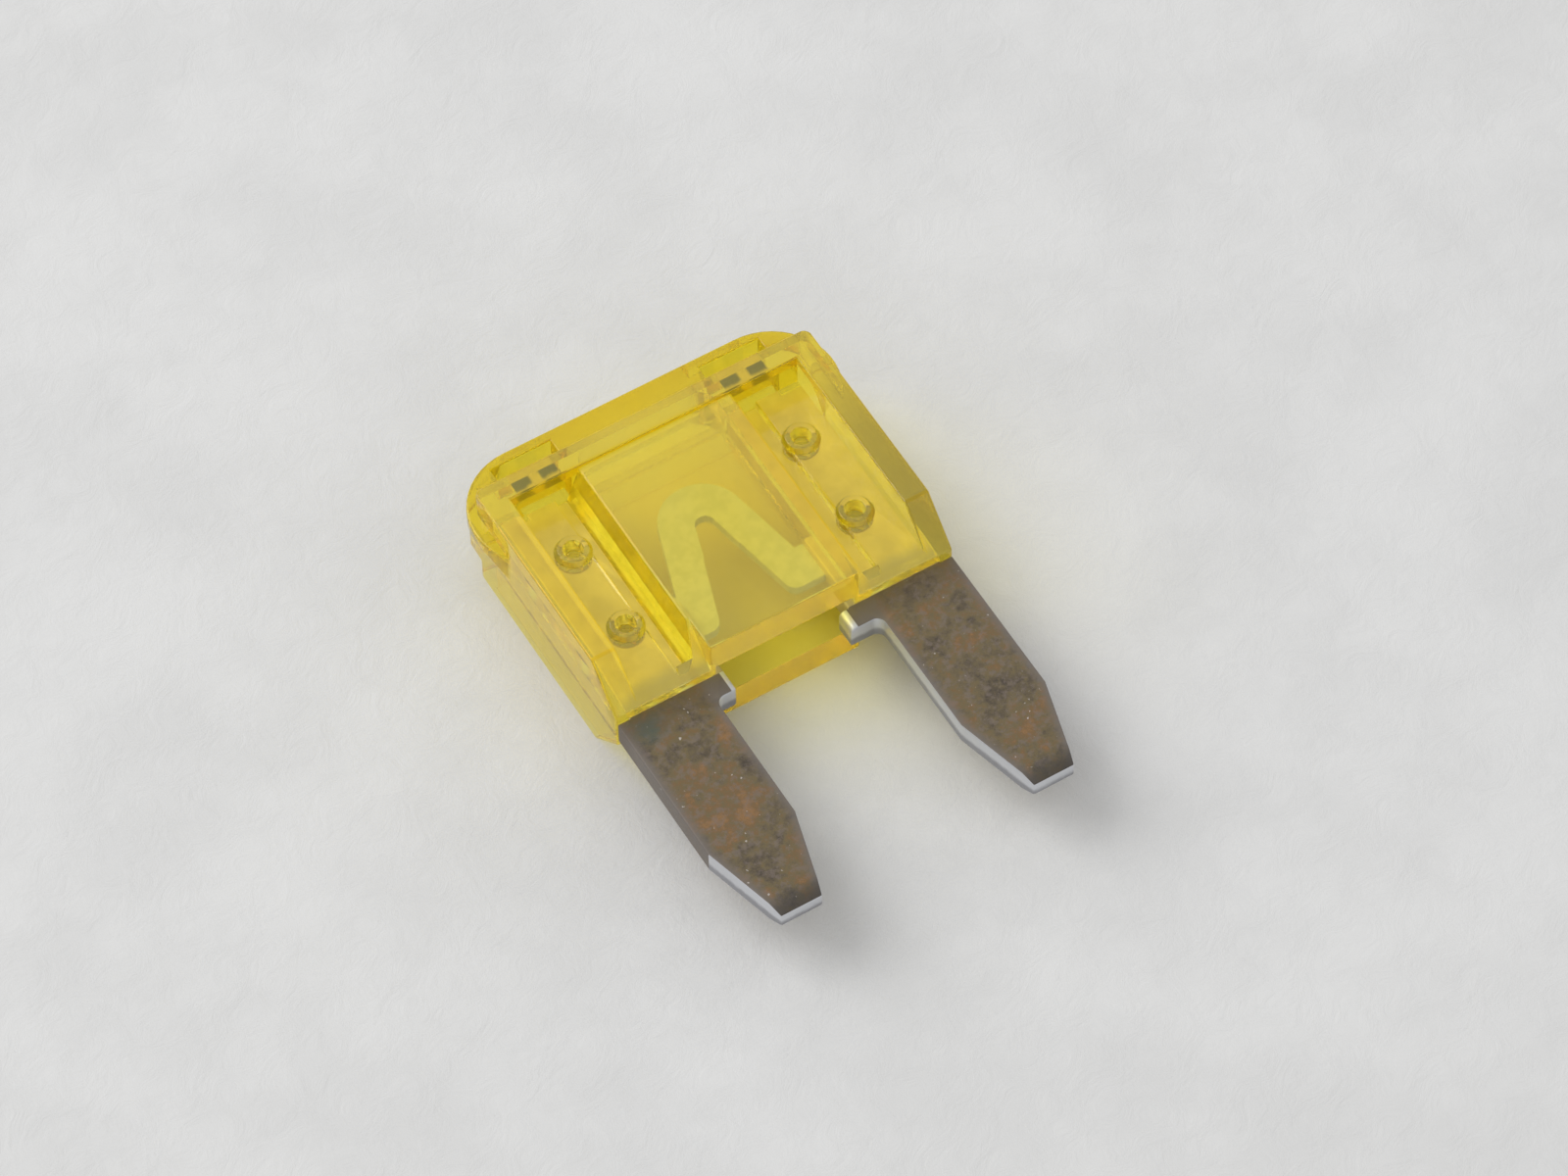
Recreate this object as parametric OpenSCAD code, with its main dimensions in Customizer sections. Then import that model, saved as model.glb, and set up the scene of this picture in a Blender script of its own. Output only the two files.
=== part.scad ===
// Miniature automotive blade fuse: a moulded transparent housing staked over
// a one-piece stamped conductor (two blades joined by a thin fusible link).
// It lies on its back face. X runs across the two blades, Y along them from
// the tips to the head, Z up through the thickness. Millimetres.

/* [Overall] */
// Length of the housing from its seat on the fuse holder to the end of the head
housing_length = 8.95; // [7.4:0.05:11]
// Width of the housing below its head
body_width = 10.65; // [10.4:0.05:12.8]
// Thickness of the housing through its front and back faces
thickness = 3.9; // [3.6:0.05:5]
// Radius of the full-thickness body's far corners, seen from the front
body_corner_radius = 0.25; // [0.1:0.05:0.5]
// Length of the blades that stand out of the housing
free_blade_length = 7.45; // [5:0.05:9]

/* [Head] */
// How far the pulling lip stands out of the body on each side
lip_overhang = 0.38; // [0.1:0.02:0.6]
// Radius of the lip's two far corners, seen from the front
lip_corner_radius = 2.0; // [0.8:0.1:2.4]
// Length of the lip beyond the end of the full-thickness body
lip_length = 1.25; // [1:0.05:1.8]
// Depth from the front face down to the lip, and the same at the back
lip_step = 0.85; // [0.4:0.05:1.1]
// Thickness of the lip's upright edge, above and below its undercut
lip_edge = 0.3; // [0.1:0.05:0.6]
// Distance between the middles of the two test openings in the lip
probe_spacing = 6.66; // [6.4:0.02:7.4]
// Width of each test opening, across the fuse
probe_width = 1.9; // [1:0.1:2.2]
// Length of each test opening, along the fuse
probe_length = 0.4; // [0.2:0.05:0.5]

/* [Window] */
// Width of the cavity that the link hangs in
cavity_width = 4.4; // [3.6:0.1:5.3]
// Depth of that cavity through the thickness
cavity_depth = 1.5; // [1.2:0.1:1.8]
// Wall between the closed end of the cavity and the end of the head
cavity_end_wall = 1.0; // [0.8:0.05:1.8]
// Radius of the cavity's two closed corners
cavity_corner_radius = 0.75; // [0.3:0.05:1.2]
// How much wider the window's front is than the cavity, on each side
window_margin = 0.15; // [0:0.05:0.4]
// How far the window's face lies below the rails
window_sink = 0.15; // [0.05:0.05:0.4]

/* [Side channels] */
// Width of the rail along each outer edge
rail_width = 0.77; // [0.5:0.01:1]
// Depth of the channels below the rails
channel_depth = 1.1; // [0.6:0.05:1.2]
// Length of the full-thickness band above the channels
band_length = 0.75; // [0.4:0.05:1.5]
// Width of the groove that runs beside the window
groove_width = 0.35; // [0.2:0.05:0.5]
// Plastic left over the metal at the bottom of that groove
groove_film = 0.15; // [0.1:0.05:0.3]
// How far the window's flank leans out from its top edge to the groove
flank_lean = 0.5; // [0.1:0.05:0.6]
// Length of the bevel at the lower end of the rails
rail_bevel_length = 1.25; // [0.5:0.05:2]
// Drop of that bevel at the seat
rail_bevel_drop = 1.3; // [0.5:0.05:1.4]
// Length of the bar that closes the groove at the seat
groove_bar = 0.4; // [0.2:0.05:0.8]
// Drop from the rails to the top of that bar
groove_bar_drop = 0.6; // [0.3:0.05:1]

/* [Stakes] */
// Outer diameter of the raised ring around each stake
stake_ring = 1.1; // [0.8:0.05:1.35]
// How much smaller the hole in the blade is than the ring, across
stake_hole_margin = 0.1; // [0:0.05:0.3]
// Height of that ring above the channel floor
stake_rise = 0.15; // [0.05:0.05:0.3]
// Diameter of the punched hollow in each stake
stake_hollow = 0.6; // [0.4:0.05:0.7]
// Depth of the hollow below the ring's top
stake_depth = 0.45; // [0.2:0.05:0.55]
// Taper of the ring and of the hollow, across, on each side
stake_draft = 0.1; // [0.05:0.05:0.2]
// Distance of the stakes from the middle of the channel floor, towards the window
stake_offset = 0.25; // [0:0.05:0.3]
// Distance of the lower stakes from the seat
stake_first = 2.35; // [1.5:0.05:3]
// Distance of the upper stakes from the closed end of their channel
stake_last = 1.74; // [1:0.02:2.4]

/* [Blades] */
// Distance between the centre lines of the two blades
blade_spacing = 7.9; // [7.6:0.05:8.4]
// Width of each blade
blade_width = 2.72; // [2.4:0.02:3]
// Thickness of the blades
blade_thickness = 0.8; // [0.6:0.05:1]
// Length of the taper at each tip
tip_taper = 2.6; // [1.5:0.05:3.2]
// Width of each blade at its tip
tip_width = 1.3; // [1:0.05:1.8]
// Thickness of each blade at its coined tip
tip_thickness = 0.5; // [0.3:0.05:0.7]
// Length of the coined bevel at each tip
tip_bevel = 0.45; // [0.2:0.05:0.8]
// Plastic left outside each blade where it is inside the housing
side_cover = 0.4; // [0.25:0.05:0.6]
// Distance from the blades' buried ends to the end of the head
end_cover = 0.71; // [0.6:0.01:1]
// Distance of the buried blades' inner edges from the cavity's side walls
shank_setback = 0.02; // [0:0.01:0.1]
// Width of the tongue at each blade's buried end
tongue_width = 1.4; // [1:0.05:1.8]
// Diameter of the round notch in the end of that tongue
tongue_notch = 0.5; // [0.3:0.05:0.8]

/* [Link] */
// Thickness of the thinned fusible link
link_thickness = 0.3; // [0.2:0.05:0.6]
// Width of the link along its arch
link_width = 1.1; // [0.6:0.05:1.4]
// Gap between the link's crown and the closed end of the cavity
link_crown_gap = 2.28; // [1:0.02:3]
// Outer radius of the crown
crown_radius = 1.25; // [1:0.05:1.6]
// Radius of the notch inside the crown
notch_radius = 0.3; // [0.15:0.05:0.5]
// Outward lean of the left leg, as width over height
left_lean = 0.33; // [0:0.01:0.4]
// Outward lean of the right leg, as width over height
right_lean = 0.2; // [0:0.01:0.4]
// Distance of the feet's lower edge from the seat
foot_start = 1.15; // [0.6:0.05:1.6]
// Height of the feet where they meet the thick metal
foot_height = 1.2; // [0.8:0.05:1.6]
// Radius of the feet's inner lower corners
foot_radius = 0.35; // [0.1:0.05:0.5]

/* [Tie stubs] */
// Reach of the thick web past the cavity's side wall
web_reach = 0.25; // [0.1:0.05:0.5]
// Length of the web that stands out below the seat
stub_length = 0.7; // [0.3:0.05:1.2]
// Extra reach of the sheared stub on the right-hand blade
stub_extra = 0.3; // [0:0.05:0.6]
// Fillet where each stub meets its blade's inner edge
stub_fillet = 0.25; // [0.1:0.05:0.4]

/* [Hidden] */

round_fn = 64;
eps = 0.05;

half_width = body_width / 2;
mid_z = thickness / 2;
seat_y = free_blade_length;
overall_length = free_blade_length + housing_length;
body_end_y = overall_length - lip_length;
channel_end_y = body_end_y - band_length;
channel_floor_z = thickness - channel_depth;
metal_top_z = mid_z + blade_thickness / 2;
groove_floor_z = metal_top_z + groove_film;
rail_inner_x = half_width - rail_width;

// the window block between the two channels
window_x = cavity_width / 2 + window_margin;
flank_foot_x = window_x + flank_lean;
floor_inner_x = flank_foot_x + groove_width;
cavity_end_y = overall_length - cavity_end_wall;

// the blades, inside and outside the housing
blade_inner_x = blade_spacing / 2 - blade_width / 2;
blade_outer_x = blade_spacing / 2 + blade_width / 2;
covered_outer_x = half_width - side_cover;
covered_end_y = overall_length - end_cover;
shoulder_y = tip_taper;
shank_x = cavity_width / 2 + shank_setback;

// the stakes
stake_x = (floor_inner_x + rail_inner_x) / 2 - stake_offset;
stake_ys = [seat_y + stake_first, channel_end_y - stake_last];
stake_hole = stake_ring - stake_hole_margin;

// the test openings
probe_x = probe_spacing / 2;
probe_y = covered_end_y;

// a box given by its lowest and highest corners
module block(low, high) {
    translate(low) cube(high - low);
}

// copies the children to the other side of the middle plane x = 0
module both_sides() {
    children();
    mirror([1, 0, 0]) children();
}

// copies the children from the front to the back face
module front_and_back() {
    children();
    translate([0, 0, thickness]) mirror([0, 0, 1]) children();
}

// an outline in the plane y-z, drawn out along x from x1 to x2
module along_x(x1, x2, points) {
    translate([x1, 0, 0])
        rotate([90, 0, 90])
            linear_extrude(x2 - x1) polygon(points);
}

// an outline in the plane x-z, drawn out along y from y1 to y2
module along_y(y1, y2, points) {
    translate([0, y2, 0])
        rotate([90, 0, 0])
            linear_extrude(y2 - y1) polygon(points);
}

// the full-thickness body below the head, with softened far corners
module body_block() {
    corner = body_corner_radius;
    block([-half_width, seat_y, 0], [half_width, body_end_y - corner, thickness]);
    block([-half_width + corner, seat_y, 0], [half_width - corner, body_end_y, thickness]);
    both_sides()
        translate([half_width - corner, body_end_y - corner, 0])
            cylinder(r = corner, h = thickness, $fn = round_fn);
}

// the pulling lip: a plate with round far corners, undercut along its sides
module lip() {
    out_x = half_width + lip_overhang;
    r = lip_corner_radius;
    round_y = overall_length - r;
    flare_y = round_y - 2 * lip_overhang;
    low_z = lip_step;
    high_z = thickness - lip_step;
    intersection() {
        union() {
            linear_extrude(high_z) polygon([
                [-half_width, flare_y], [-out_x, round_y], [out_x, round_y], [half_width, flare_y]
            ]);
            block([-out_x + r, flare_y, 0], [out_x - r, overall_length, high_z]);
            both_sides()
                translate([out_x - r, round_y, 0])
                    cylinder(r = r, h = high_z, $fn = 2 * round_fn);
        }
        along_y(seat_y, overall_length + eps, [
            [-half_width, low_z], [half_width, low_z],
            [half_width, mid_z], [out_x, high_z - lip_edge], [out_x, high_z],
            [-out_x, high_z], [-out_x, high_z - lip_edge], [-half_width, mid_z]
        ]);
    }
}

// one open channel of the front face, on the right-hand side
module channel() {
    top = thickness + eps;
    bar_z = thickness - groove_bar_drop;
    bar_x = window_x + flank_lean * groove_bar_drop / (thickness - groove_floor_z);
    // wide shallow part, from the window's flank to the rail
    block([floor_inner_x, seat_y - eps, channel_floor_z], [rail_inner_x, channel_end_y, top]);
    // leaning flank of the window and the groove at its foot
    along_y(seat_y + groove_bar, channel_end_y, [
        [window_x, top], [flank_foot_x, groove_floor_z],
        [floor_inner_x, groove_floor_z], [floor_inner_x, top]
    ]);
    // shallow end of the groove, over its closing bar
    along_y(seat_y - eps, seat_y + groove_bar + eps, [
        [window_x, top], [bar_x, bar_z],
        [floor_inner_x + eps, bar_z], [floor_inner_x + eps, top]
    ]);
}

// the bevel across the lower end of one tower, front face
module tower_bevel() {
    along_x(window_x, half_width + eps, [
        [seat_y - eps, thickness - rail_bevel_drop - eps],
        [seat_y + rail_bevel_length, thickness],
        [seat_y + rail_bevel_length, thickness + eps],
        [seat_y - eps, thickness + eps]
    ]);
}

// the raised ring that a staking punch leaves, with the plastic plug below it
module stake(x, y) {
    translate([x, y, mid_z])
        cylinder(d = stake_hole, h = channel_floor_z - mid_z, $fn = round_fn);
    translate([x, y, channel_floor_z])
        cylinder(d1 = stake_ring, d2 = stake_ring - 2 * stake_draft, h = stake_rise, $fn = round_fn);
}

// the hollow left in the middle of a stake
module stake_pit(x, y) {
    floor_d = stake_hollow - stake_draft;
    translate([x, y, channel_floor_z + stake_rise - stake_depth])
        cylinder(d1 = floor_d, d2 = stake_hollow, h = stake_depth + eps, $fn = round_fn);
}

// the room inside the housing for one blade and its tie stub
module blade_pocket() {
    low = mid_z - blade_thickness / 2;
    block([shank_x - eps, seat_y - eps, low], [covered_outer_x, channel_end_y, metal_top_z]);
    block([probe_x - tongue_width / 2, channel_end_y - eps, low],
        [probe_x + tongue_width / 2, covered_end_y, metal_top_z]);
}

// the cavity round the link, open at the seat
module cavity() {
    r = cavity_corner_radius;
    x = cavity_width / 2;
    low = mid_z - cavity_depth / 2;
    high = mid_z + cavity_depth / 2;
    block([-x, seat_y - eps, low], [x, cavity_end_y - r, high]);
    block([-x + r, seat_y, low], [x - r, cavity_end_y, high]);
    both_sides()
        translate([x - r, cavity_end_y - r, low])
            cylinder(r = r, h = cavity_depth, $fn = round_fn);
}

// the slot through the lip that bares the end of one blade
module probe_opening() {
    block([probe_x - probe_width / 2, probe_y, -eps],
        [probe_x + probe_width / 2, probe_y + probe_length, thickness + eps]);
}

// the transparent moulding, in one piece
module housing() {
    color("gold", 0.6) translate([0, -overall_length / 2, 0]) difference() {
        union() {
            difference() {
                union() {
                    body_block();
                    lip();
                }
                front_and_back() {
                    both_sides() {
                        channel();
                        tower_bevel();
                    }
                    block([-flank_foot_x, seat_y - eps, thickness - window_sink],
                        [flank_foot_x, channel_end_y, thickness + eps]);
                }
                both_sides() {
                    blade_pocket();
                    probe_opening();
                }
                cavity();
            }
            both_sides() front_and_back()
                for (y = stake_ys) stake(stake_x, y);
        }
        both_sides() front_and_back()
            for (y = stake_ys) stake_pit(stake_x, y);
    }
}

// one blade with its tapered tip and the shank inside the housing
module blade() {
    low = mid_z - blade_thickness / 2;
    centre = blade_spacing / 2;
    tip_low = mid_z - tip_thickness / 2;
    tip_high = mid_z + tip_thickness / 2;
    intersection() {
        translate([0, 0, low]) linear_extrude(blade_thickness) polygon([
            [centre - tip_width / 2, 0], [centre + tip_width / 2, 0],
            [blade_outer_x, shoulder_y], [blade_outer_x, seat_y],
            [blade_inner_x, seat_y], [blade_inner_x, shoulder_y]
        ]);
        along_x(blade_inner_x - eps, blade_outer_x + eps, [
            [0, tip_low], [tip_bevel, low], [seat_y, low],
            [seat_y, metal_top_z], [tip_bevel, metal_top_z], [0, tip_high]
        ]);
    }
    difference() {
        union() {
            block([shank_x, seat_y, low], [covered_outer_x, channel_end_y, metal_top_z]);
            block([probe_x - tongue_width / 2, channel_end_y - eps, low],
                [probe_x + tongue_width / 2, covered_end_y, metal_top_z]);
        }
        translate([probe_x, covered_end_y, low - eps])
            cylinder(d = tongue_notch, h = blade_thickness + 2 * eps, $fn = round_fn);
        for (y = stake_ys)
            translate([stake_x, y, low - eps])
                cylinder(d = stake_hole, h = blade_thickness + 2 * eps, $fn = round_fn);
    }
}

// the thick web beside the link's foot, with the sheared stub below the seat
module web(reach) {
    low = mid_z - blade_thickness / 2;
    edge_x = cavity_width / 2 - web_reach;
    r = stub_fillet;
    block([edge_x, seat_y - stub_length, low],
        [shank_x + eps, seat_y + foot_start + foot_height, metal_top_z]);
    block([edge_x - reach, seat_y - stub_length, low],
        [blade_inner_x + eps, seat_y, metal_top_z]);
    difference() {
        block([blade_inner_x - r, seat_y - stub_length - r, low],
            [blade_inner_x + eps, seat_y - stub_length + eps, metal_top_z]);
        translate([blade_inner_x - r, seat_y - stub_length - r, low - eps])
            cylinder(r = r, h = blade_thickness + 2 * eps, $fn = round_fn);
    }
}

// one leg of the link from the crown's centre line to the web, leaning outwards
module link_leg(lean) {
    web_x = cavity_width / 2 - web_reach + eps;
    crown_y = cavity_end_y - link_crown_gap - crown_radius;
    notch_y = cavity_end_y - link_crown_gap - link_width - notch_radius;
    foot_low = seat_y + foot_start;
    foot_high = foot_low + foot_height;
    slope = sqrt(1 + lean * lean);
    outer = [crown_radius / slope, crown_y + crown_radius * lean / slope];
    inner = [notch_radius / slope, notch_y + notch_radius * lean / slope];
    outer_foot = outer + (outer[1] - foot_high) * [lean, -1];
    inner_foot = inner + (inner[1] - foot_low) * [lean, -1];
    // the round inner corner of the foot touches the leg's inner edge here
    turn = [inner_foot[0] - foot_radius * lean + foot_radius * slope, foot_low + foot_radius];
    touch = turn - foot_radius / slope * [1, lean];
    translate([0, 0, mid_z - link_thickness / 2]) {
        linear_extrude(link_thickness) polygon([
            outer, outer_foot, [web_x, foot_high], [web_x, foot_low],
            [turn[0], foot_low], turn, touch, inner
        ]);
        translate(turn) cylinder(r = foot_radius, h = link_thickness, $fn = round_fn);
    }
}

// the thin arch that melts when the current is too high
module link() {
    crown_y = cavity_end_y - link_crown_gap - crown_radius;
    notch_y = cavity_end_y - link_crown_gap - link_width - notch_radius;
    low = mid_z - link_thickness / 2;
    link_leg(right_lean);
    mirror([1, 0, 0]) link_leg(left_lean);
    difference() {
        translate([0, crown_y, low])
            cylinder(r = crown_radius, h = link_thickness, $fn = 2 * round_fn);
        translate([0, notch_y, low - eps])
            cylinder(r = notch_radius, h = link_thickness + 2 * eps, $fn = round_fn);
        translate([0, 0, low - eps]) linear_extrude(link_thickness + 2 * eps) polygon([
            [-notch_radius, notch_y], [notch_radius, notch_y],
            [notch_radius + right_lean * crown_radius, notch_y - crown_radius - eps],
            [-notch_radius - left_lean * crown_radius, notch_y - crown_radius - eps]
        ]);
    }
}

// the stamped conductor in one piece: two blades, their webs and the link
module fuse_element() {
    color("darkgray") translate([0, -overall_length / 2, 0]) {
        both_sides() blade();
        web(stub_extra);
        mirror([1, 0, 0]) web(0);
        link();
    }
}

housing();
fuse_element();
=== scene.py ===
from math import cos, pi, radians, sin

import bmesh
import bpy
from mathutils import Matrix, Vector


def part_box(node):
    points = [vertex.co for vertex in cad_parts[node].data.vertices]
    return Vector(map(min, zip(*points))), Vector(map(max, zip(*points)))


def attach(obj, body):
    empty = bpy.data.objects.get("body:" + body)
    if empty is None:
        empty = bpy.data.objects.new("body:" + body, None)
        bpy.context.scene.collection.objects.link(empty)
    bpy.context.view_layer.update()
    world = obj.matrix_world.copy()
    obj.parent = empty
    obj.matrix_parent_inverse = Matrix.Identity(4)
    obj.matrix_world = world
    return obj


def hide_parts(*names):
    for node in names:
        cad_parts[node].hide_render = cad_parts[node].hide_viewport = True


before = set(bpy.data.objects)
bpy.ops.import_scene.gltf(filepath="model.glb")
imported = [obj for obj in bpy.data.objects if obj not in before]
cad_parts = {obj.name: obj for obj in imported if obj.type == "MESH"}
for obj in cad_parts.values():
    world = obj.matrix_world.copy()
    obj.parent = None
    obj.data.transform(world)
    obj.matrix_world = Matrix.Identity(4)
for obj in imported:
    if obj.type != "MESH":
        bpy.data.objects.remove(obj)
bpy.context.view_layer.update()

# ---------------------------------------------------------------------------
# Housing: one injection moulding of clear yellow polycarbonate. It is pushed
# over the stamped element and staked through the holes in the blades, which
# leaves a ring and a hollow at each stake.
# ---------------------------------------------------------------------------
mm = 0.001
housing_low, housing_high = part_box("housing")
seat_y = housing_low.y
middle_z = (housing_low.z + housing_high.z) / 2
same_point = 0.002 * mm
same_plane = radians(0.5)
sharpest_left_alone = radians(28)
shade_smooth_below = radians(38)
mould_edge_radius = 0.06 * mm
stake_edge_radius = 0.03 * mm

# the rooms for the metal: half their height, their sides and their ends, and
# how far out the edges round them are left crisp
metal_room_half_height = 0.8 * mm
metal_room_side_x = 4.95 * mm
tongue_room_end_y = 7.52 * mm
crisp_side_x = 5.2 * mm
crisp_end_y = 7.6 * mm
# the channels on both faces
channel_half_height = 1.16 * mm
channel_side_x = 4.45 * mm
channel_end_y = 6.1 * mm
rail_inner_x = 4.6 * mm
window_edge_x = 2.36 * mm
groove_edge_x = 3.22 * mm
groove_half_height = 0.5 * mm


def joined_copy(node):
    """A node's own solid with its loose triangles joined into flat faces."""
    bm = bmesh.new()
    bm.from_mesh(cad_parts[node].data)
    bmesh.ops.remove_doubles(bm, verts=bm.verts[:], dist=same_point)
    bmesh.ops.dissolve_limit(bm, angle_limit=same_plane, verts=bm.verts[:], edges=bm.edges[:])
    return bm


def sharp_edges(bm):
    """The convex edges that a mould or a die leaves, apart from the facets of round walls."""
    return [edge for edge in bm.edges if edge.is_manifold and edge.is_convex
            and edge.calc_face_angle(0) > sharpest_left_alone]


def round_edges(bm, edges, radius, segments):
    """Rounds edges as a mould's or a die's corners do."""
    bmesh.ops.bevel(bm, geom=edges, offset=radius, offset_type="OFFSET", affect="EDGES",
                    segments=segments, profile=0.5, material=-1, clamp_overlap=False)


def finished(bm, name, materials):
    """Puts a solid into the scene as a piece that rides on the fuse."""
    bmesh.ops.triangulate(bm, faces=bm.faces[:], ngon_method="BEAUTY")
    for face in bm.faces:
        face.smooth = True
    for edge in bm.edges:
        edge.smooth = edge.is_manifold and edge.calc_face_angle(0) < shade_smooth_below
    mesh = bpy.data.meshes.new(name)
    bm.to_mesh(mesh)
    bm.free()
    for material in materials:
        mesh.materials.append(material)
    piece = bpy.data.objects.new(name, mesh)
    bpy.context.scene.collection.objects.link(piece)
    flat = piece.modifiers.new("flat_faces", "WEIGHTED_NORMAL")
    flat.weight = 90
    flat.keep_sharp = True
    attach(piece, "root")
    return piece


def near_metal(edge):
    """True in the rooms for the blades and the link, where the moulding stays crisp."""
    return all(abs(v.co.z - middle_z) < metal_room_half_height and v.co.y < crisp_end_y
               and abs(v.co.x) < crisp_side_x for v in edge.verts)


def in_channel(edge):
    """True for the small edges of the stakes and grooves on the channel floors."""
    return all(abs(v.co.z - middle_z) < channel_half_height and abs(v.co.x) < channel_side_x
               and v.co.y < channel_end_y for v in edge.verts)


housing_bm = joined_copy("housing")
outer = [edge for edge in sharp_edges(housing_bm) if not near_metal(edge) and not in_channel(edge)]
round_edges(housing_bm, outer, mould_edge_radius, 3)
small = [edge for edge in sharp_edges(housing_bm) if not near_metal(edge) and in_channel(edge)]
round_edges(housing_bm, small, stake_edge_radius, 2)

# light runs a long way inside the rims and flanks, so they look a deeper yellow
rim_share = housing_bm.faces.layers.float.new("rim_share")
for face in housing_bm.faces:
    middle = face.calc_center_median()
    aside = abs(middle.x)
    from_middle = abs(middle.z - middle_z)
    inside = (from_middle < metal_room_half_height and aside < metal_room_side_x
              and middle.y < tongue_room_end_y)
    on_rim = aside > rail_inner_x or middle.y > channel_end_y
    on_flank = window_edge_x < aside < groove_edge_x and from_middle > groove_half_height
    face[rim_share] = 1.0 if (on_rim or on_flank) and not inside else 0.0

# one pattern serves every finish on the fuse and the cloth: two colours in soft clouds
cloudy = bpy.data.node_groups.new("cloudy_colour", "ShaderNodeTree")
for socket, kind in (("Place", "Vector"), ("Scale", "Float"), ("Detail", "Float"), ("Coarseness", "Float"),
                     ("Distortion", "Float"), ("Start", "Float"), ("End", "Float"),
                     ("First", "Color"), ("Second", "Color")):
    cloudy.interface.new_socket(name=socket, in_out="INPUT", socket_type="NodeSocket" + kind)
for socket, kind in (("Colour", "Color"), ("Cloud", "Float")):
    cloudy.interface.new_socket(name=socket, in_out="OUTPUT", socket_type="NodeSocket" + kind)
given = cloudy.nodes.new("NodeGroupInput").outputs
result = cloudy.nodes.new("NodeGroupOutput").inputs
cloud_noise = cloudy.nodes.new("ShaderNodeTexNoise")
cloud_share = cloudy.nodes.new("ShaderNodeMapRange")
cloud_share.interpolation_type = "SMOOTHSTEP"
cloud_mix = cloudy.nodes.new("ShaderNodeMix")
cloud_mix.data_type = "RGBA"
for source, socket in ((given["Place"], cloud_noise.inputs["Vector"]),
                       (given["Scale"], cloud_noise.inputs["Scale"]),
                       (given["Detail"], cloud_noise.inputs["Detail"]),
                       (given["Coarseness"], cloud_noise.inputs["Roughness"]),
                       (given["Distortion"], cloud_noise.inputs["Distortion"]),
                       (cloud_noise.outputs["Fac"], cloud_share.inputs["Value"]),
                       (given["Start"], cloud_share.inputs["From Min"]),
                       (given["End"], cloud_share.inputs["From Max"]),
                       (cloud_share.outputs["Result"], cloud_mix.inputs[0]),
                       (given["First"], cloud_mix.inputs[6]),
                       (given["Second"], cloud_mix.inputs[7]),
                       (cloud_mix.outputs[2], result["Colour"]),
                       (cloud_noise.outputs["Fac"], result["Cloud"])):
    cloudy.links.new(source, socket)


def clouds(tree, place, scale, detail, coarseness, distortion=0.0, first=(0, 0, 0), second=(1, 1, 1),
           start=0.35, end=0.65):
    """Clouds on a surface: a Colour between the first and the second, and their bare pattern, Cloud."""
    node = tree.nodes.new("ShaderNodeGroup")
    node.node_tree = cloudy
    tree.links.new(place, node.inputs["Place"])
    for socket, number in (("Scale", scale), ("Detail", detail), ("Coarseness", coarseness),
                           ("Distortion", distortion), ("Start", start), ("End", end)):
        node.inputs[socket].default_value = number
    node.inputs["First"].default_value = (*first, 1)
    node.inputs["Second"].default_value = (*second, 1)
    return node.outputs


def new_material(name):
    """A new material with its node tree, its main shader and its coordinates."""
    material = bpy.data.materials.new(name)
    material.use_nodes = True
    tree = material.node_tree
    place = tree.nodes.new("ShaderNodeTexCoord").outputs["Object"]
    return material, tree, tree.nodes["Principled BSDF"], place


def graded(tree, value, start, end, low, high):
    """Turns a pattern from start to end into a value from low to high."""
    node = tree.nodes.new("ShaderNodeMapRange")
    for socket, number in (("From Min", start), ("From Max", end), ("To Min", low), ("To Max", high)):
        node.inputs[socket].default_value = number
    tree.links.new(value, node.inputs["Value"])
    return node.outputs["Result"]


def layered(tree, share, under, over):
    """Lays one colour over another by its share."""
    node = tree.nodes.new("ShaderNodeMix")
    node.data_type = "RGBA"
    tree.links.new(share, node.inputs[0])
    for socket, colour in ((node.inputs[6], under), (node.inputs[7], over)):
        if isinstance(colour, tuple):
            socket.default_value = (*colour, 1)
        else:
            tree.links.new(colour, socket)
    return node.outputs[2]


def raised(tree, height, strength, distance, under=None):
    """A bump on the surface, on top of another where one is given."""
    node = tree.nodes.new("ShaderNodeBump")
    node.inputs["Strength"].default_value = strength
    node.inputs["Distance"].default_value = distance
    tree.links.new(height, node.inputs["Height"])
    if under is not None:
        tree.links.new(under, node.inputs["Normal"])
    return node.outputs["Normal"]


def value_of(tree, operation, first, second=0.0):
    """One sum of the patterns: each side is a socket or a number."""
    node = tree.nodes.new("ShaderNodeMath")
    node.operation = operation
    for socket, side in zip(node.inputs, (first, second)):
        if isinstance(side, (int, float)):
            socket.default_value = side
        else:
            tree.links.new(side, socket)
    return node.outputs[0]


def distance_from(tree, place, point):
    """How far the surface is from a point on the fuse."""
    node = tree.nodes.new("ShaderNodeVectorMath")
    node.operation = "DISTANCE"
    node.inputs[1].default_value = point
    tree.links.new(place, node.inputs[0])
    return node.outputs["Value"]


plastic, tree, shader, place = new_material("clear_yellow_polycarbonate")
shader.inputs["Transmission Weight"].default_value = 0.92
shader.inputs["IOR"].default_value = 1.5
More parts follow.
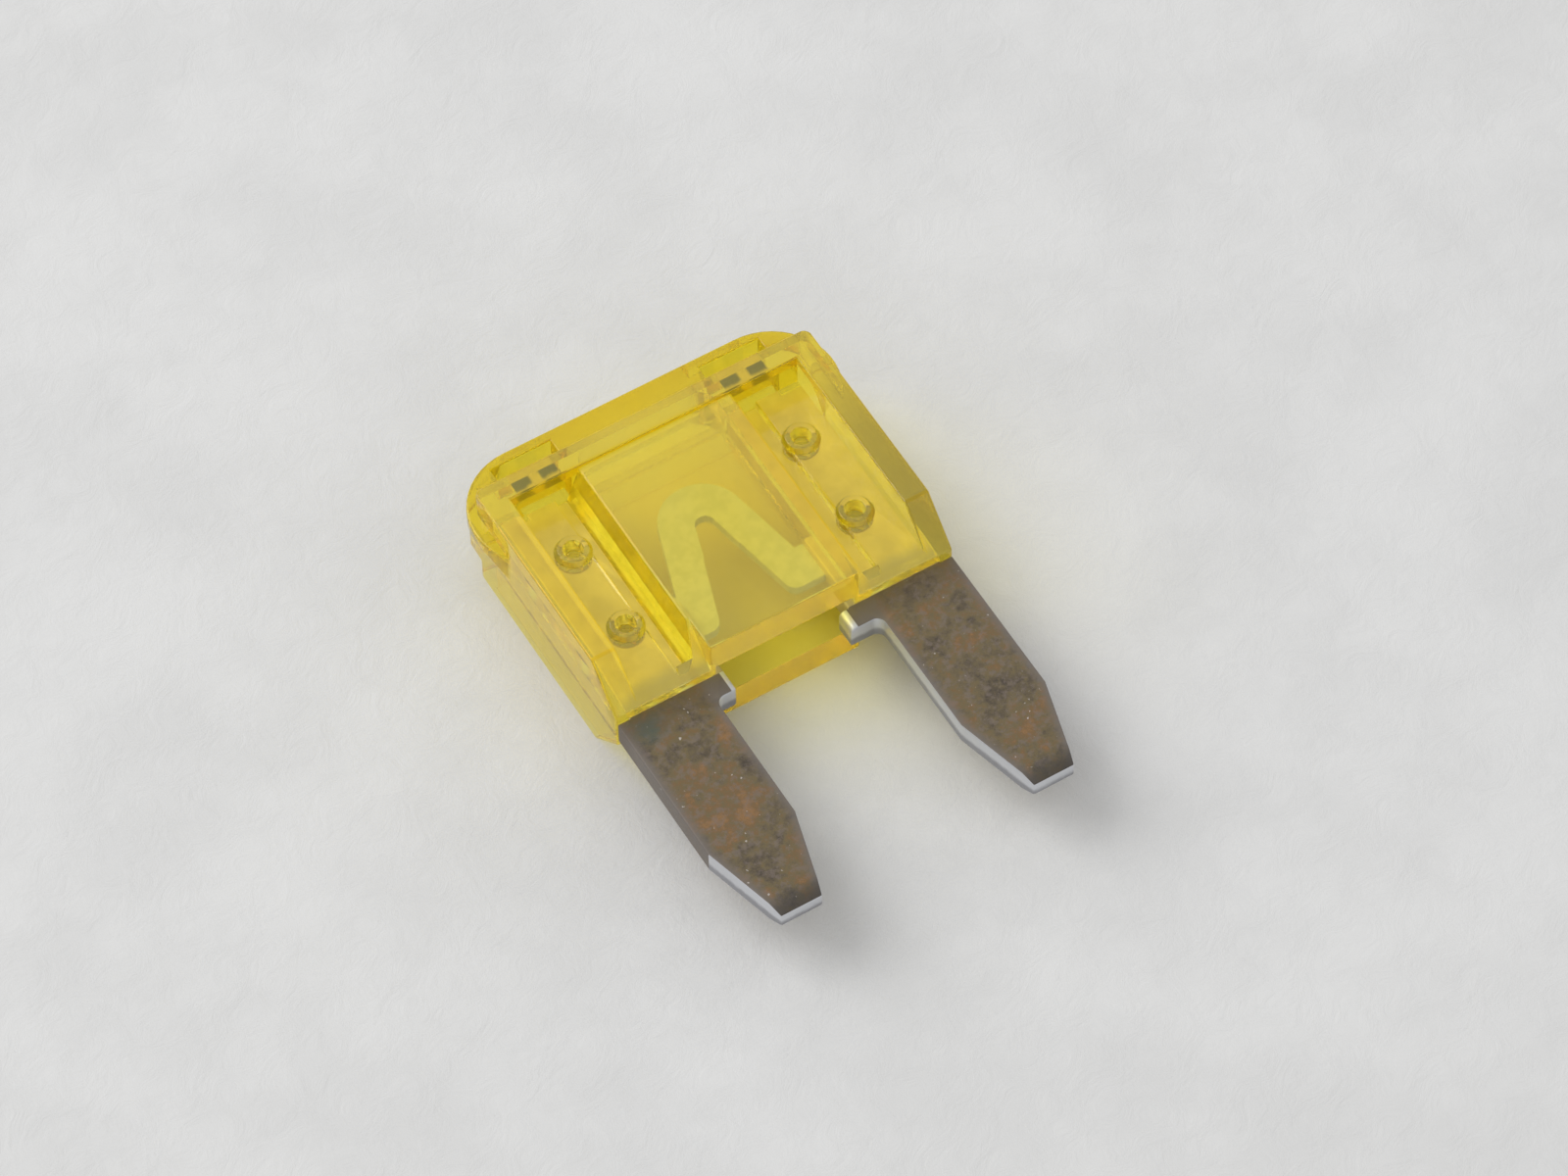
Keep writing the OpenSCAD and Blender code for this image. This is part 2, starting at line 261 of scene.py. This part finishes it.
# the dye has streaked a little as the melt ran up the mould
along_flow = tree.nodes.new("ShaderNodeMapping")
along_flow.inputs["Scale"].default_value = (1, 0.35, 1)
tree.links.new(place, along_flow.inputs["Vector"])
melt = clouds(tree, along_flow.outputs["Vector"], 500, 3, 0.5)["Cloud"]
streak = graded(tree, melt, 0.35, 0.65, 0, 1)
window_yellow = layered(tree, streak, (1.0, 0.94, 0.40), (1.0, 0.955, 0.50))
rim_yellow = layered(tree, streak, (1.0, 0.83, 0.06), (1.0, 0.86, 0.10))
rim = tree.nodes.new("ShaderNodeAttribute")
rim.attribute_name = "rim_share"
tree.links.new(layered(tree, rim.outputs["Fac"], window_yellow, rim_yellow), shader.inputs["Base Color"])
# fine scuffs from handling lie over the mould's polish
scuffs = clouds(tree, place, 2600, 4, 0.5)["Cloud"]
tree.links.new(graded(tree, scuffs, 0.35, 0.7, 0.05, 0.16), shader.inputs["Roughness"])
# the faces have rippled slightly in cooling, and an ejector left its round mark on the lip
ripple = raised(tree, melt, 0.3, 0.02 * mm)
from_mark = distance_from(tree, place, (2.75 * mm, 7.2 * mm, 3.05 * mm))
mark = tree.nodes.new("ShaderNodeValToRGB")
mark_rings = ((0.0, 0.5), (0.10, 0.5), (0.14, 1.0), (0.18, 0.2), (0.22, 0.9), (0.28, 0.5))
while len(mark.color_ramp.elements) < len(mark_rings):
    mark.color_ramp.elements.new(0.5)
for stop, (radius_mm, height) in zip(mark.color_ramp.elements, mark_rings):
    stop.position = radius_mm
    stop.color = (height, height, height, 1)
tree.links.new(value_of(tree, "MULTIPLY", from_mark, 1 / mm), mark.inputs["Fac"])
tree.links.new(raised(tree, mark.outputs["Color"], 0.8, 0.05 * mm, ripple), shader.inputs["Normal"])
# lamp light passes straight through the moulding, tinted by its depth
through = tree.nodes.new("ShaderNodeBsdfTransparent")
through.inputs["Color"].default_value = (1.0, 0.98, 0.85, 1)
ray = tree.nodes.new("ShaderNodeLightPath")
light_ray = value_of(tree, "MAXIMUM", ray.outputs["Is Shadow Ray"], ray.outputs["Is Diffuse Ray"])
either = tree.nodes.new("ShaderNodeMixShader")
tree.links.new(light_ray, either.inputs[0])
tree.links.new(shader.outputs[0], either.inputs[1])
tree.links.new(through.outputs[0], either.inputs[2])
dye = tree.nodes.new("ShaderNodeVolumeAbsorption")
dye.inputs["Color"].default_value = (0.99, 0.94, 0.05, 1)
dye.inputs["Density"].default_value = 640
plastic_output = tree.nodes["Material Output"]
tree.links.new(either.outputs[0], plastic_output.inputs["Surface"])
tree.links.new(dye.outputs[0], plastic_output.inputs["Volume"])

housing = finished(housing_bm, "moulded_housing", [plastic])
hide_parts("housing")

# ---------------------------------------------------------------------------
# Fuse element: one zinc alloy stamping with both blades, their webs and the
# coined link. The strip's own faces have tarnished brown and grey in use; the
# edges sheared by the die, the torn stubs and the link are still bare metal.
# ---------------------------------------------------------------------------
tip_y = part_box("fuse_element")[0].y
air_film = 0.012 * mm
die_edge_radius = 0.06 * mm
link_half_thickness = 0.16 * mm
notch_start_y = 7.2 * mm
notch_x = 3.33 * mm
blade_centre_x = 3.95 * mm
blade_half_width = 1.36 * mm
tip_half_width = 0.65 * mm
tip_taper = 2.6 * mm
taper_slope = (blade_half_width - tip_half_width) / tip_taper
stub_end_x = 1.65 * mm
torn_slope = 0.2 * mm
right_stub_x = 1.9 * mm
left_stub_x = -2.1 * mm


def on_link(verts):
    """True on the thin coined link, which hangs clear of the housing."""
    return all(abs(v.co.z - middle_z) < link_half_thickness for v in verts)


def at_notch(edge):
    """True round the small notches in the blades' buried ends."""
    return all(v.co.y > notch_start_y for v in edge.verts)


element_bm = joined_copy("fuse_element")
# the right stub slopes where the blank broke out of its strip
torn = [edge for edge in element_bm.edges if edge.is_manifold and all(
    abs(v.co.x - stub_end_x) < same_point and v.co.z > middle_z and v.co.y < seat_y + same_point
    for v in edge.verts)]
round_edges(element_bm, torn, torn_slope, 4)
die_edges = [edge for edge in sharp_edges(element_bm) if not on_link(edge.verts) and not at_notch(edge)]
round_edges(element_bm, die_edges, die_edge_radius, 2)
# a thin film of air keeps the metal off the walls of its rooms
element_bm.normal_update()
moves = [(v, v.normal * (v.calc_shell_factor() * air_film)) for v in element_bm.verts if not on_link([v])]
for vert, move in moves:
    vert.co -= move
# cuts at the seat and the stubs part the tarnished faces from the bare and the covered ones
for point, facing in (((0, seat_y, 0), (0, 1, 0)), ((right_stub_x, 0, 0), (1, 0, 0)),
                      ((left_stub_x, 0, 0), (1, 0, 0))):
    bmesh.ops.bisect_plane(element_bm, geom=element_bm.verts[:] + element_bm.edges[:] + element_bm.faces[:],
                           dist=same_point, plane_co=point, plane_no=facing)


def faded(tree, value, start, end):
    """0 at the start, 1 at the end, and smooth between them."""
    node = tree.nodes.new("ShaderNodeMapRange")
    node.interpolation_type = "SMOOTHSTEP"
    node.inputs["From Min"].default_value = start
    node.inputs["From Max"].default_value = end
    tree.links.new(value, node.inputs["Value"])
    return node.outputs["Result"]


def parts_of(tree, place):
    """The place's three coordinates."""
    node = tree.nodes.new("ShaderNodeSeparateXYZ")
    tree.links.new(place, node.inputs[0])
    return node.outputs


def jittered(tree, value, pattern, amount):
    """A distance made ragged by a cloud pattern."""
    return value_of(tree, "ADD", value, value_of(tree, "MULTIPLY", pattern, amount))


# sheared edges: a bright burnished band above, a rougher and darker torn band below
sheared, tree, shader, place = new_material("sheared_zinc_edge")
shader.inputs["Metallic"].default_value = 0.7
tear = clouds(tree, place, 3000, 4, 0.6)["Cloud"]
burnished = faded(tree, jittered(tree, parts_of(tree, place)["Z"], tear, 0.2 * mm), 1.88 * mm, 2.1 * mm)
edge_colour = layered(tree, burnished, (0.36, 0.36, 0.38), (0.66, 0.67, 0.70))
tree.links.new(edge_colour, shader.inputs["Base Color"])
tree.links.new(graded(tree, burnished, 0, 1, 0.6, 0.35), shader.inputs["Roughness"])

# coined link: bright, even metal with a satin face
coined, tree, shader, place = new_material("coined_zinc_link")
shader.inputs["Metallic"].default_value = 0.35
shader.inputs["Roughness"].default_value = 0.45
satin = clouds(tree, place, 2400, 5, 0.6, first=(0.66, 0.68, 0.74), second=(0.74, 0.75, 0.84),
               start=0.4, end=0.6)
tree.links.new(satin["Colour"], shader.inputs["Base Color"])

# faces under the housing: a golden colour that is painted glow, standing in for yellow light coming through
# the moulding, greyer tarnish next to the seat, and painted shade at the buried ends
covered, tree, shader, place = new_material("covered_zinc_face")
shader.inputs["Metallic"].default_value = 0.2
shader.inputs["Roughness"].default_value = 0.5
# painted glow: golden clouds put on the metal for the yellow light that reaches it through the moulding
painted_glow = clouds(tree, place, 1400, 4, 0.6, first=(0.62, 0.49, 0.10), second=(0.72, 0.58, 0.14))
parts = parts_of(tree, place)
ragged_y = jittered(tree, parts["Y"], painted_glow["Cloud"], 0.5 * mm)
near_seat = faded(tree, ragged_y, seat_y + 1.15 * mm, seat_y + 0.65 * mm)
buried_face_colour = layered(tree, near_seat, painted_glow["Colour"], (0.42, 0.35, 0.20))
# painted shade: the buried ends are darkened to stand in for the shade inside the thick moulding over them
from_notch = value_of(tree, "ABSOLUTE", value_of(tree, "SUBTRACT",
                      value_of(tree, "ABSOLUTE", parts["X"]), notch_x))
painted_end_shade = value_of(tree, "MULTIPLY", faded(tree, ragged_y, 7.1 * mm, 7.25 * mm),
                    faded(tree, from_notch, 0.10 * mm, 0.20 * mm))
buried_face_colour = layered(tree, painted_end_shade, buried_face_colour, (0.06, 0.06, 0.05))
tree.links.new(buried_face_colour, shader.inputs["Base Color"])

# bare faces: brown and rusty clouds, greyer along the edges, darker at both ends
tarnished, tree, shader, place = new_material("tarnished_zinc_face")
shader.inputs["Metallic"].default_value = 0.25
patches = clouds(tree, place, 700, 3, 0.5)["Cloud"]
grain = clouds(tree, place, 2400, 9, 0.78)["Cloud"]
rust = value_of(tree, "ADD", value_of(tree, "MULTIPLY", patches, 0.4),
                value_of(tree, "MULTIPLY", grain, 0.6))
rust_colour = tree.nodes.new("ShaderNodeValToRGB")
rust_stops = ((0.38, (0.075, 0.058, 0.042, 1)), (0.45, (0.135, 0.105, 0.062, 1)),
              (0.50, (0.18, 0.14, 0.068, 1)), (0.55, (0.205, 0.125, 0.054, 1)),
              (0.62, (0.30, 0.165, 0.066, 1)))
while len(rust_colour.color_ramp.elements) < len(rust_stops):
    rust_colour.color_ramp.elements.new(0.5)
for stop, (position, colour) in zip(rust_colour.color_ramp.elements, rust_stops):
    stop.position = position
    stop.color = colour
tree.links.new(rust, rust_colour.inputs["Fac"])
ash = clouds(tree, place, 3800, 8, 0.78)["Cloud"]
ash_share = value_of(tree, "MULTIPLY", faded(tree, ash, 0.48, 0.6), 0.6)
face_colour = layered(tree, ash_share, rust_colour.outputs["Color"], (0.22, 0.175, 0.145))
# grey edges: how far a point lies from the outline of its blade
parts = parts_of(tree, place)
from_centre = value_of(tree, "ABSOLUTE", value_of(tree, "SUBTRACT",
                       value_of(tree, "ABSOLUTE", parts["X"]), blade_centre_x))
from_tip = value_of(tree, "SUBTRACT", parts["Y"], tip_y)
tapered = value_of(tree, "ADD", value_of(tree, "MULTIPLY", from_tip, taper_slope), tip_half_width)
from_edge = value_of(tree, "SUBTRACT", value_of(tree, "MINIMUM", tapered, blade_half_width), from_centre)
edge_share = faded(tree, jittered(tree, from_edge, ash, 0.7 * mm), 0.70 * mm, 0.30 * mm)
face_colour = layered(tree, edge_share, face_colour, (0.195, 0.17, 0.15))
# a green-blue bloom where the left blade enters the housing
from_bloom = distance_from(tree, place, (-4.6 * mm, -1.25 * mm, 2.35 * mm))
bloom = faded(tree, jittered(tree, from_bloom, rust, 0.8 * mm), 1.15 * mm, 0.45 * mm)
face_colour = layered(tree, value_of(tree, "MULTIPLY", bloom, 0.8), face_colour, (0.085, 0.12, 0.10))
# darker at the seat, and darker tarnish on the coined tips
ragged_y = jittered(tree, from_tip, rust, 1.2 * mm)
seat_shade = value_of(tree, "MULTIPLY", faded(tree, ragged_y, 6.8 * mm, 8.0 * mm), 0.45)
face_colour = layered(tree, seat_shade, face_colour, (0.085, 0.055, 0.032))
tip_shade = value_of(tree, "MULTIPLY", faded(tree, ragged_y, 1.35 * mm, 0.75 * mm), 0.7)
face_colour = layered(tree, tip_shade, face_colour, (0.065, 0.058, 0.052))
# pale specks where the film has been chipped off
chips = clouds(tree, place, 7000, 2, 0.5)["Cloud"]
face_colour = layered(tree, faded(tree, chips, 0.73, 0.77), face_colour, (0.55, 0.50, 0.46))
tree.links.new(face_colour, shader.inputs["Base Color"])
tree.links.new(graded(tree, rust, 0, 1, 0.42, 0.72), shader.inputs["Roughness"])
tree.links.new(raised(tree, ash, 0.5, 0.02 * mm), shader.inputs["Normal"])

outer_side_x = blade_centre_x + blade_half_width - 0.1 * mm
finishes = [sheared, tarnished, coined, covered]
for face in element_bm.faces:
    middle = face.calc_center_median()
    strip_face = abs(face.normal.z) > 0.5 or abs(middle.x) > outer_side_x
    if on_link(face.verts):
        finish = coined
    elif middle.y > seat_y:
        finish = covered
    elif middle.y < seat_y and strip_face and not left_stub_x < middle.x < right_stub_x:
        finish = tarnished
    else:
        finish = sheared
    face.material_index = finishes.index(finish)

element = finished(element_bm, "stamped_element", finishes)
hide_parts("fuse_element")

# ---------------------------------------------------------------------------
# Cloth that the fuse lies on: a pale, slightly napped sheet laid flat on a
# table, wide enough to fill every view.
# ---------------------------------------------------------------------------
cloth_half = 0.4
cloth_bm = bmesh.new()
bmesh.ops.create_grid(cloth_bm, x_segments=1, y_segments=1, size=cloth_half)
cloth_mesh = bpy.data.meshes.new("cloth")
cloth_bm.to_mesh(cloth_mesh)
cloth_bm.free()
cloth = bpy.data.objects.new("cloth", cloth_mesh)
bpy.context.scene.collection.objects.link(cloth)
cloth_material, tree, shader, place = new_material("pale_cloth")
shader.inputs["Roughness"].default_value = 0.95
clumps = clouds(tree, place, 160, 4, 0.6, first=(0.775, 0.775, 0.77), second=(0.825, 0.825, 0.82))
tree.links.new(clumps["Colour"], shader.inputs["Base Color"])
fibres = clouds(tree, place, 900, 8, 0.7, distortion=1.5)["Cloud"]
tree.links.new(raised(tree, fibres, 0.35, 0.15 * mm), shader.inputs["Normal"])
cloth_mesh.materials.append(cloth_material)

# ---------------------------------------------------------------------------
# Light: one large soft lamp from the left and a little beyond the fuse, in a
# pale, even room.
# ---------------------------------------------------------------------------
view_azimuth = radians(-29.66)
view_elevation = radians(55.9)


def soft_lamp(name, across, away, up, size, watts):
    """A square lamp, placed by how far it is to the right of the view, beyond it and above."""
    right = Vector((cos(view_azimuth), sin(view_azimuth), 0))
    beyond = Vector((-sin(view_azimuth), cos(view_azimuth), 0))
    data = bpy.data.lights.new(name, "AREA")
    data.size = size
    data.energy = watts
    lamp = bpy.data.objects.new(name, data)
    bpy.context.scene.collection.objects.link(lamp)
    spot = right * across + beyond * away + Vector((0, 0, up))
    lamp.matrix_world = Matrix.Translation(spot) @ spot.to_track_quat("Z", "Y").to_matrix().to_4x4()
    return lamp


window_light = soft_lamp("window_light", -0.40, 0.16, 0.38, 0.45, 1.6)
window_light.visible_transmission = False
room = bpy.data.worlds.new("pale_room")
room.use_nodes = True
room.node_tree.nodes["Background"].inputs["Color"].default_value = (1, 1, 1, 1)
room.node_tree.nodes["Background"].inputs["Strength"].default_value = 0.61
bpy.context.scene.world = room
bpy.context.scene.view_settings.view_transform = "Standard"
bpy.context.scene.cycles.max_bounces = 24
bpy.context.scene.cycles.transmission_bounces = 24
bpy.context.scene.cycles.glossy_bounces = 12

# ---------------------------------------------------------------------------
# Camera: a long lens above the blades and to their left, far enough away that
# the fuse hardly narrows with distance.
# ---------------------------------------------------------------------------
view_roll = radians(-1.5)
view_distance = 203.5 * mm
aim = Vector((1.61 * mm, 2.09 * mm, 0))
camera_data = bpy.data.cameras.new("camera")
camera_data.lens = 168.84
camera_data.sensor_width = 36
camera_data.clip_start = 0.01
camera = bpy.data.objects.new("camera", camera_data)
bpy.context.scene.collection.objects.link(camera)
turn = (Matrix.Rotation(view_azimuth, 4, "Z")
        @ Matrix.Rotation(pi / 2 - view_elevation, 4, "X")
        @ Matrix.Rotation(view_roll, 4, "Z"))
camera.matrix_world = Matrix.Translation(aim) @ turn @ Matrix.Translation((0, 0, view_distance))
bpy.context.scene.camera = camera
